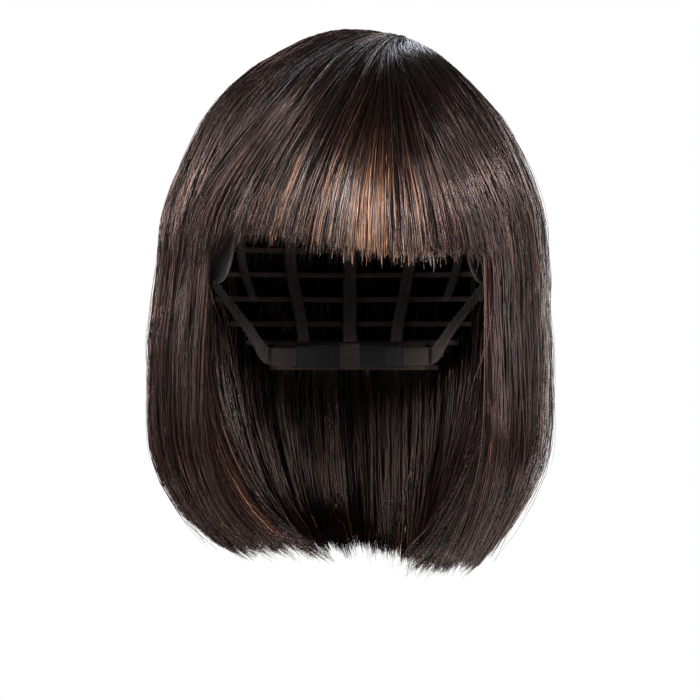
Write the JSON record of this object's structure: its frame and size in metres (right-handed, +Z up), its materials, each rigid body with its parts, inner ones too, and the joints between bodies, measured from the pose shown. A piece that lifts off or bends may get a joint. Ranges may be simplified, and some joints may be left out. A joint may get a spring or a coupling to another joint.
{
  "type": "costume wig",
  "caption": "Chin-length bob wig with a blunt fringe: wefts of glossy dark brown synthetic hair in overlapping layers on an open elastic cap with nape adjusters.",
  "frame": {"origin": "the inside of the cap's crown, where the top of the wearer's head rests", "axes": "+Z up; the face opening is towards -Y; -X is left and +X is right as seen from in front of the face"},
  "size_m": [0.1993, 0.2257, 0.2633],
  "materials": {
    "hair": "glossy synthetic fibre, near-black brown with reddish and copper strands",
    "skin_top": "thin satin false skin",
    "cap_net": "open stretch net",
    "cap_band": "brushed, soft-faced tape",
    "elastic": "ribbed woven elastic",
    "loop_pad": "napped loop pile",
    "hook_tab": "fine moulded hooks"
  },
  "bodies": {
    "cap": {"skin_top": "skin_top", "crown_net": "cap_net", "front_band": "cap_band", "ear_tab_left": "cap_band", "ear_tab_right": "cap_band", "ear_band_left": "elastic", "ear_band_right": "elastic", "nape_band": "cap_band", "front_ribbon_centre": "elastic", "front_ribbon_left": "elastic", "front_ribbon_right": "elastic", "back_ribbon_centre": "elastic", "back_ribbon_inner_left": "elastic", "back_ribbon_inner_right": "elastic", "back_ribbon_outer_left": "elastic", "back_ribbon_outer_right": "elastic", "side_ribbon_front_left": "elastic", "side_ribbon_front_right": "elastic", "side_ribbon_rear_left": "elastic", "side_ribbon_rear_right": "elastic", "adjuster_pad_left": "loop_pad", "adjuster_pad_right": "loop_pad", "adjuster_strap_left": "elastic", "adjuster_strap_right": "elastic"},
    "fringe": {"fringe_lower_weft": "hair", "fringe_middle_weft": "hair", "fringe_crown_weft": "hair"},
    "left_hair": {"left_ear_weft": "hair", "left_temple_weft": "hair", "left_upper_weft": "hair", "left_crown_weft": "hair"},
    "right_hair": {"right_ear_weft": "hair", "right_temple_weft": "hair", "right_upper_weft": "hair", "right_crown_weft": "hair"},
    "back_hair": {"nape_weft": "hair", "back_lower_weft": "hair", "back_middle_weft": "hair", "back_upper_weft": "hair", "back_crown_weft": "hair"},
    "left_adjuster": {"adjuster_tab_left": "hook_tab"},
    "right_adjuster": {"adjuster_tab_right": "hook_tab"}
  },
  "joints": [
    {"name": "fringe_lift", "type": "hinge", "parent": "cap", "child": "fringe", "pos_m": [0, -0.0035, 0.0125], "axis": [-1, 0, 0], "range_deg": [0, 15]},
    {"name": "left_hair_swing", "type": "hinge", "parent": "cap", "child": "left_hair", "pos_m": [0.0125, 0, 0.0125], "axis": [0, 1, 0], "range_deg": [0, 15]},
    {"name": "right_hair_swing", "type": "hinge", "parent": "cap", "child": "right_hair", "pos_m": [0.026, 0, 0.0125], "axis": [0, -1, 0], "range_deg": [0, 15]},
    {"name": "back_hair_swing", "type": "hinge", "parent": "cap", "child": "back_hair", "pos_m": [0, 0.0145, 0.0125], "axis": [1, 0, 0], "range_deg": [0, 15]},
    {"name": "left_adjuster_slide", "type": "hinge", "parent": "cap", "child": "left_adjuster", "pos_m": [0, 0.026, -0.149], "axis": [0, 0, -1], "range_deg": [0, 16], "deforming": ["adjuster_strap_left"]},
    {"name": "right_adjuster_slide", "type": "hinge", "parent": "cap", "child": "right_adjuster", "pos_m": [0, 0.026, -0.149], "axis": [0, 0, 1], "range_deg": [0, 16], "deforming": ["adjuster_strap_right"]}
  ]
}
